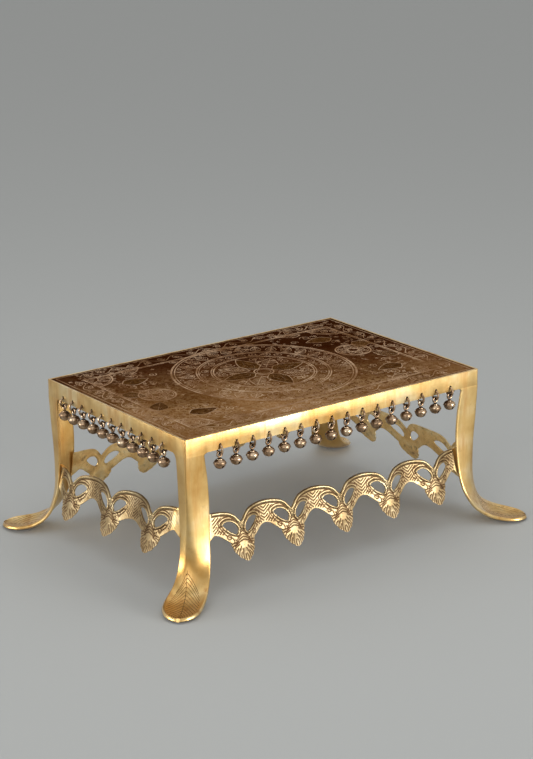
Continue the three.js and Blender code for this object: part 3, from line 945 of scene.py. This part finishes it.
def limb_lines(tie, hand, half_pitch, crest, ring, middle):
    """The chased lines on one limb of the skirt, each with its distance from the edges."""
    def beside(points):
        return [(tie + hand * x, -down) for x, down in points]

    near, beyond = (swollen(ring, middle, distance) for distance in (eye_line, far_line))
    # A second line runs only round the far end of the eye
    far_end = [point for point in beyond if (point[0] - tie) * hand > 0.4 * half_pitch]
    far_end.sort(key=lambda point: math.atan2(point[1] - middle.y, (point[0] - middle.x) * hand))
    beside_crest = inset_line(crest[2:], -hand * crest_line)
    chased = [(near + near[:1], eye_margin), (far_end, far_margin), (beside_crest, crest_margin)]
    # Chevrons that point down the arch's middle
    for k in range(chevron_count):
        drop = chevron_first + chevron_step * k
        foot = (half_pitch - chevron_reach, drop - 0.85 * chevron_reach)
        chevron = curve_through(beside([(half_pitch, drop), (half_pitch - 4, drop - 3), foot]), 8)
        chevron = clear_of(clear_of(chevron, crest, crest_clear), far_end, line_gap)
        chased.append((clear_of(chevron, near, line_gap), eye_margin))
    # A volute at the far end of the eye, and one on the limb below it
    for x, down, size in volutes:
        centre = beside([(x, down)])[0]
        chased.append(([
            (centre[0] + hand * size * (1 - k / volute_close) * math.cos(volute_turn * k),
             centre[1] + size * (1 - k / volute_close) * math.sin(volute_turn * k))
            for k in range(volute_points)
        ], volute_margin))
    for x, down in neck_strokes:
        stroke = [(x + 0.6, down), (x - 0.8, down + 2.6), (x - 0.4, down + 6)]
        chased.append((curve_through(beside(stroke), 4), neck_margin))
    return chased


def palmette_lines(tie, hand, heart, edge):
    """Flutes of the palmette, a long and a short one by turns, and feathers on its neck."""
    chased = []
    for k in range(1, len(edge), lobe_steps // 2):
        tip = Vector(edge[k])
        root = heart.lerp(tip, 0.45 if k % 2 else 0.68)
        bow = (root + tip) / 2 + Vector((hand * 0.9, 0))
        chased.append((curve_through([tuple(root), tuple(bow), tuple(tip)]), flute_margin))
    for k in range(feather_count):
        drop, reach = (first + step * k for first, step in (feather_drop, feather_reach))
        feather = [(0.2, drop), (reach * 0.45, drop + 2), (reach, drop + 6.5)]
        chased.append((curve_through([(tie + hand * x, -down) for x, down in feather]), feather_margin))
    return chased


def skirt_form(side_name):
    """The flat skirt in the side's own frame: along, out and height below its crest. Also gives its
    first tie, half its pitch and its chased lines."""
    count, pitch_share, shift_share, _ = skirt_rows[side_name]
    length = sides[side_name]["length"]
    half_pitch = length * pitch_share / 2
    ties = [length * (shift_share + (i - (count - 1) / 2) * pitch_share) for i in range(count)]

    def at(tie, hand, shares):
        return [(tie + hand * across * half_pitch, -down * skirt_depth) for across, down in shares]

    # A rib is noted with its radius and margin, a chased line with its margin alone
    top, bottom, holes, ribs, chased = [], [], [], [], []
    for i, tie in enumerate(ties):
        heart = Vector((tie, -heart_down * skirt_depth))
        crests, feet, scallops = {}, {}, {}
        for hand in (-1, 1):
            deep = (side_name, i + (hand + 1) // 2) in deep_arches
            crests[hand] = curve_through(at(tie, hand, arch_top), 4)
            feet[hand] = curve_through(at(tie, hand, deep_arch_foot if deep else arch_foot), 4)
            edge = curve_through(at(tie, hand, palmette_edge), lobe_steps)
            scallops[hand] = [
                swollen([point], heart, lobe_rise * abs(math.sin(math.pi * k / lobe_steps)))[0]
                for k, point in enumerate(edge)
            ]
            corners_of_eye = at(tie, hand, eye)
            ring = curve_through([corners_of_eye[-1]] + corners_of_eye + corners_of_eye[:2], 5)[5:-6]
            holes.append(ring)
            middle = Vector([sum(places) / len(ring) for places in zip(*ring)])
            rim = swollen(ring, middle, eye_rib)
            ribs.append((rim + rim[:1], *rib_sizes["eye"]))
            ribs.append((inset_line(crests[hand][2:], -hand * crest_rib), *rib_sizes["crest"]))
            ribs.append((inset_line(feet[hand], hand * foot_rib), *rib_sizes["foot"]))
            chased += limb_lines(tie, hand, half_pitch, crests[hand], ring, middle)
            chased += palmette_lines(tie, hand, heart, edge)
        top += crests[-1][::-1] + crests[1][1:-1]
        bottom += feet[-1][:-1] + scallops[-1][:-1] + scallops[1][::-1] + feet[1][::-1][1:-1]
        for drop in tie_bands:
            band = [(tie + band_half * k / 4, -drop - band_bow * abs(k)) for k in range(-4, 5)]
            ribs.append((band, *rib_sizes["band"]))
    end = skirt_end(side_name)
    first = min(ties[0] - half_pitch - skirt_lap, -end)
    last = max(ties[-1] + half_pitch + skirt_lap, end)
    outline = [(first, 0), (first, -tab_foot * skirt_depth)] + bottom
    outline += [(last, -tab_foot * skirt_depth), (last, 0)] + top[::-1]

    rim = rim_points([outline] + holes)
    tree = point_tree([point for point, _ in rim])
    kept = [(run, radius) for line, radius, margin in ribs for run in kept_on(rim, tree, line, margin)]
    form = flat_form([outline] + holes, sheet_half)
    add_rods(form, kept, rib_lift)
    runs = [run for line, margin in chased for run in kept_on(rim, tree, line, margin)]
    return form, ties[0], half_pitch, runs


def near_lines(lines):
    """Points close together along the chased lines, to ask how near a place is to one."""
    points = []
    for line in lines:
        for a, b in zip(line, line[1:]):
            count = max(1, round(math.dist(a, b) / line_grain))
            points += [tuple(p + (q - p) * k / count for p, q in zip(a, b)) for k in range(count + 1)]
    return point_tree(points)


def lean_at(down_share):
    """How far the skirt leans out at a share of its depth, as a share of the lean at the tip."""
    for (a, p), (b, q) in zip(lean_shares, lean_shares[1:]):
        if down_share <= b or b == lean_shares[-1][0]:
            t = (down_share - a) / (b - a)
            return p + (q - p) * t


def sheet_middle(x, z, first_tie, half_pitch):
    """How far out the middle of the bent sheet lies at a place on the flat one."""
    inward = wave_depth * (1 - math.cos(math.pi * (x - first_tie) / half_pitch)) / 2
    return lean_at(-z / skirt_depth) * skirt_lean - inward + wave_depth / 2 - skirt_thickness / 2


def sunk_at(tree, x, z):
    """How deep a place lies in a chased line: 1 at its middle, 0 beyond its side."""
    return max(0, 1 - tree.find((x, z, 0))[2] / line_half)


def share(value):
    """A value kept between 0 and 1."""
    return min(1, max(0, value))


def reopened(mesh):
    """The form of a mesh, in millimetres again."""
    form = bmesh.new()
    form.from_mesh(mesh)
    bmesh.ops.scale(form, vec=(1 / mm, 1 / mm, 1 / mm), verts=form.verts)
    return form


def without_offcuts(mesh):
    """Keeps only the largest connected part of a mesh."""
    form = bmesh.new()
    form.from_mesh(mesh)
    left_over = set(form.verts)
    islands = []
    while left_over:
        island = [left_over.pop()]
        for vert in island:
            for link in vert.link_edges:
                other = link.other_vert(vert)
                if other in left_over:
                    left_over.discard(other)
                    island.append(other)
        islands.append(island)
    offcuts = [vert for island in sorted(islands, key=len)[:-1] for vert in island]
    bmesh.ops.delete(form, geom=offcuts, context="VERTS")
    form.to_mesh(mesh)
    form.free()


skirt_metal = aged_casting()
for side_name, side in sides.items():
    form, first_tie, half_pitch, runs = skirt_form(side_name)
    tree = near_lines(runs)
    bmesh.ops.recalc_face_normals(form, faces=form.faces)
    flat = piece_from(form, "flat_skirt")
    remesh = flat.modifiers.new("casting", "REMESH")
    remesh.mode = "VOXEL"
    remesh.voxel_size = casting_grain * mm
    settle(flat)
    end = skirt_end(side_name)
    cut(flat, piece_from(box_form((-end, -2 * skirt_depth, -9), (end, 9, 9)), "length"), "INTERSECT")
    form = reopened(flat.data)
    bpy.data.objects.remove(flat)
    bmesh.ops.smooth_vert(form, verts=form.verts, factor=0.35,
                          use_axis_x=True, use_axis_y=True, use_axis_z=True)
    # The lines are sunk in the front face, and the sheet is bent out
    for vert in form.verts:
        x, z, rise = vert.co
        if rise > 0:
            rise -= line_depth * sunk_at(tree, x, z)
        vert.co = (x, -side["stand_off"] - sheet_middle(x, z, first_tie, half_pitch) - rise, z)
    tilt = math.radians(skirt_rows[side_name][3])
    place = Matrix.Rotation(side["turn"] * math.pi / 2, 4, "Z") @ Matrix.Translation((0, 0, crest_height))
    place = place @ Matrix.Rotation(-tilt, 4, "Y")
    form.transform(place)
    bmesh.ops.recalc_face_normals(form, faces=form.faces)
    skirt = piece_from(form, f"skirt_{side_name}_casting", skirt_metal, smooth_angle=60)
    for sign_x, sign_y in corners:
        cut(skirt, piece_from(leg_form(sign_x, sign_y, -weld_depth, leg_cover), "leg_space"))
    without_offcuts(skirt.data)
    # Each vertex notes how proud of the lines it stands and whether it was filed plain
    relief = skirt.data.attributes.new("relief", "FLOAT", "POINT")
    filed = skirt.data.attributes.new("filed", "FLOAT", "POINT")
    back_to_flat = place.inverted()
    for vert in skirt.data.vertices:
        x, y, z = back_to_flat @ (vert.co / mm)
        rise = -y - side["stand_off"] - sheet_middle(x, z, first_tie, half_pitch)
        lift = share((rise - sheet_half) / rib_lift)
        relief.data[vert.index].value = (0.68 + 0.32 * lift) * (1 - sunk_at(tree, x, z))
        tab = share((abs(x) - end + filed_ends[side_name][x > 0]) / 4)
        filed.data[vert.index].value = 1 if rise < 0.3 * sheet_half else tab
    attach(skirt, "table")
    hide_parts(f"skirt_{side_name}")


# Small round bells hang from the apron, one on each drilled hole. A bell is a thin brass shell with
# a slit mouth, a raised waist seam, a loop at its crown and a loose pellet; its ring is bent wire.
# They were never cleaned and have gone a dull brown grey.
def tarnished_bell_brass():
    """Thin cast brass, tarnished grey brown, and painted shade that makes it nearly black in its hollows."""
    metal, node, place = start_metal("bell brass, tarnished")
    cloud = node("TexNoise", {"Vector": place, "Scale": blotch(5), "Detail": 4, "Roughness": 0.65})
    tone = node("ValToRGB", {"Fac": cloud}, stops=[(0.32, "#705840"), (0.5, "#B09376"), (0.68, "#E6D0B0")])
    # Painted shade: ambient occlusion mixes a near black into the hollows
    open_air = node("AmbientOcclusion", {"Distance": 5 * mm}, samples=6).outputs["AO"]
    painted_recess_shade = node("MapRange",
                  {"Value": open_air, "From Min": 0.5, "From Max": 0.95, "To Min": 1, "To Max": 0})
    colour = node("Mix", {0: painted_recess_shade, 6: tone, 7: linear("#180E08")}, data_type="RGBA")
    roughness = node("MapRange",
                     {"Value": cloud, "From Min": 0.3, "From Max": 0.7, "To Min": 0.46, "To Max": 0.28})
    pits = node("TexNoise", {"Vector": place, "Scale": blotch(1.2), "Detail": 3, "Roughness": 0.7})
    return finish_metal(metal, colour, roughness, pits, 0.1, 0.5)


wire_radius, ring_radius, loop_radius, round_steps = 1.35, 5.6, 3.1, 24
bell_top, shell_wall, slit_width, slit_rise, pellet_radius = -16.6, 0.9, 1.9, 5.6, 2.4
crown_wall, mouth_reach = 1.9, 20
# Outer line of the bell from the crown down, as (radius, depth below the top) in millimetres
bell_line = [
    (0.0, 0.0), (2.3, 0.1), (3.0, 0.6), (3.2, 1.3), (4.7, 1.9), (6.2, 3.0), (7.0, 4.4), (7.15, 5.3),
    (7.75, 5.6), (7.75, 6.4), (7.15, 6.7), (6.9, 8.2), (6.0, 10.1), (4.6, 11.6), (2.8, 12.5),
    (1.2, 12.85), (0.0, 12.9),
]
bell_radius, bell_depth = bell_line[8][0], bell_line[-1][1]
bell_foot = bell_top - bell_depth


def spin_round(form, axis):
    """Spins a section all the way round an axis."""
    bmesh.ops.spin(form, geom=form.verts[:] + form.edges[:], cent=(0, 0, 0), axis=axis, dvec=(0, 0, 0),
                   angle=2 * math.pi, steps=round_steps, use_merge=True, use_normal_flip=False,
                   use_duplicate=False)
    bmesh.ops.remove_doubles(form, verts=form.verts, dist=1e-3)
    bmesh.ops.recalc_face_normals(form, faces=form.faces)


def wire_ring_form(radius):
    """A ring of round wire round the Y axis."""
    form = bmesh.new()
    bmesh.ops.create_circle(form, segments=8, radius=wire_radius, matrix=Matrix.Translation((radius, 0, 0)))
    spin_round(form, (0, 1, 0))
    return form


def bell_form():
    """The bell's outer and inner wall, spun from its half section. Both come out facing outwards, so
    the slit cut through them ends in flat sides and doesn't open the hollow."""
    form = bmesh.new()
    inner = [(max(0, r - shell_wall), d + (shell_wall if d < bell_depth / 2 else -shell_wall))
             for r, d in bell_line[2:-1]]
    section = bell_line + [(0.0, bell_depth - shell_wall)] + inner[::-1] + [(0.0, crown_wall)]
    verts = [form.verts.new((r, 0, bell_top - d)) for r, d in section]
    for a, b in zip(verts, verts[1:] + verts[:1]):
        form.edges.new((a, b))
    on_axis = [edge for edge in form.edges if all(abs(vert.co.x) < 1e-6 for vert in edge.verts)]
    bmesh.ops.delete(form, geom=on_axis, context="EDGES")
    spin_round(form, (0, 0, 1))
    return form


bell_metal = tarnished_bell_brass()
bell = piece_from(bell_form(), "bell_pattern", bell_metal)
mouth = box_form((-slit_width / 2, -2 * bell_radius, bell_top - mouth_reach),
                 (slit_width / 2, 2 * bell_radius, bell_foot + slit_rise))
cut(bell, piece_from(mouth, "mouth"))
ring = wire_ring_form(ring_radius)
ring.transform(Matrix.Translation((0, 0, -ring_radius)) @ Matrix.Rotation(math.pi / 2, 4, "Z"))
loop = wire_ring_form(loop_radius)
loop.transform(Matrix.Translation((0, 0, -2 * ring_radius + 2 * wire_radius - loop_radius)))
shell = reopened(bell.data)
bpy.data.objects.remove(bell)
pour_in(shell, loop)
pellet = bmesh.new()
bmesh.ops.create_icosphere(pellet, subdivisions=2, radius=pellet_radius,
                           matrix=Matrix.Translation((0, 0, bell_foot + shell_wall + pellet_radius)))
pendant = {"ring": ring, "bell": shell, "pellet": pellet}

for joint in frame["joints"]:
    body = joint["child"]
    _, side_name, number = body.split("_")
    turn = Matrix.Rotation(sides[side_name]["turn"] * math.pi / 2, 4, "Z")
    for part, pattern in pendant.items():
        form = pattern.copy()
        form.transform(Matrix.Translation(Vector(joint["pos_m"]) / mm) @ turn)
        piece = piece_from(form, f"{part}_{side_name}_{number}_shown", bell_metal)
        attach(piece, body)
        if part == "bell":
            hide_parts(body)


# A plain grey sweep under the table and a large soft lamp overhead. Two low lamps far off at the
# front right and the left are what the walls mirror, and a small one lights the legs from the
# front left.
floor_form = bmesh.new()
bmesh.ops.create_grid(floor_form, x_segments=1, y_segments=1, size=12000)
floor = piece_from(floor_form, "floor")
paper = bpy.data.materials.new("matt grey paper")
paper.use_nodes = True
paper_shader = paper.node_tree.nodes["Principled BSDF"]
paper_shader.inputs["Base Color"].default_value = linear("#B4B6B4")
paper_shader.inputs["Roughness"].default_value = 0.9
paper_shader.inputs["Specular IOR Level"].default_value = 0.1
floor.data.materials.append(paper)

world = bpy.data.worlds.new("studio")
bpy.context.scene.world = world
world.use_nodes = True
world.node_tree.nodes["Background"].inputs["Color"].default_value = linear("#DADADA")
world.node_tree.nodes["Background"].inputs["Strength"].default_value = 0.82


def soft_lamp(name, place, size, watts, aim=(0, 0, 0.12), beam=180):
    """A softbox that looks at the table; a grid on it keeps a narrow beam off the floor before it."""
    lamp = bpy.data.lights.new(name, "AREA")
    lamp.shape = "RECTANGLE"
    lamp.size, lamp.size_y = size
    lamp.energy = watts
    lamp.spread = math.radians(beam)
    box = bpy.data.objects.new(name, lamp)
    box.location = place
    box.rotation_euler = (Vector(aim) - Vector(place)).to_track_quat("-Z", "Y").to_euler()
    box.visible_camera = False
    bpy.context.scene.collection.objects.link(box)


soft_lamp("overhead", (0.1, -0.2, 2.4), (2.4, 2.4), 9.6)
soft_lamp("front_right", (1.0, -2.65, 0.4), (1.6, 0.7), 7.4, (0, 0, 0.3), 50)
soft_lamp("left", (-2.76, 0.9, 0.4), (1.6, 0.7), 4.8, (0, 0, 0.3), 50)
soft_lamp("front_left", (-2.1, -1.6, 1.1), (0.9, 0.9), 11, (0, 0, 0.1))

# The camera stands at the photograph's angle, a long lens a little under three metres away.
azimuth, elevation, roll = math.radians(-36.579), math.radians(17.554), math.radians(-0.493)
distance, slide, lift, focal_pixels = 2820.33, 3.237, -7.39, 2250.57
sensor, photo_height = 36, 759
level = math.cos(elevation)
back = Vector((math.sin(azimuth) * level, -math.cos(azimuth) * level, math.sin(elevation)))
right = Vector((math.cos(azimuth), math.sin(azimuth), 0))
up = back.cross(right)
rolled_right = math.cos(roll) * right + math.sin(roll) * up
rolled_up = math.cos(roll) * up - math.sin(roll) * right
camera = bpy.data.objects.new("camera", bpy.data.cameras.new("camera"))
camera.data.sensor_width = sensor
camera.data.lens = sensor * focal_pixels / photo_height
camera.data.clip_end = 50
camera.matrix_world = Matrix.LocRotScale(
    (slide * rolled_right + lift * rolled_up + distance * back + Vector((0, 0, table_height))) * mm,
    Matrix((rolled_right, rolled_up, back)).transposed(), None)
bpy.context.scene.collection.objects.link(camera)
bpy.context.scene.camera = camera
bpy.context.scene.view_settings.view_transform = "Standard"

for leftover in [thing for thing in bpy.data.objects if thing.name in ("Cube", "Light", "Camera")]:
    bpy.data.objects.remove(leftover)
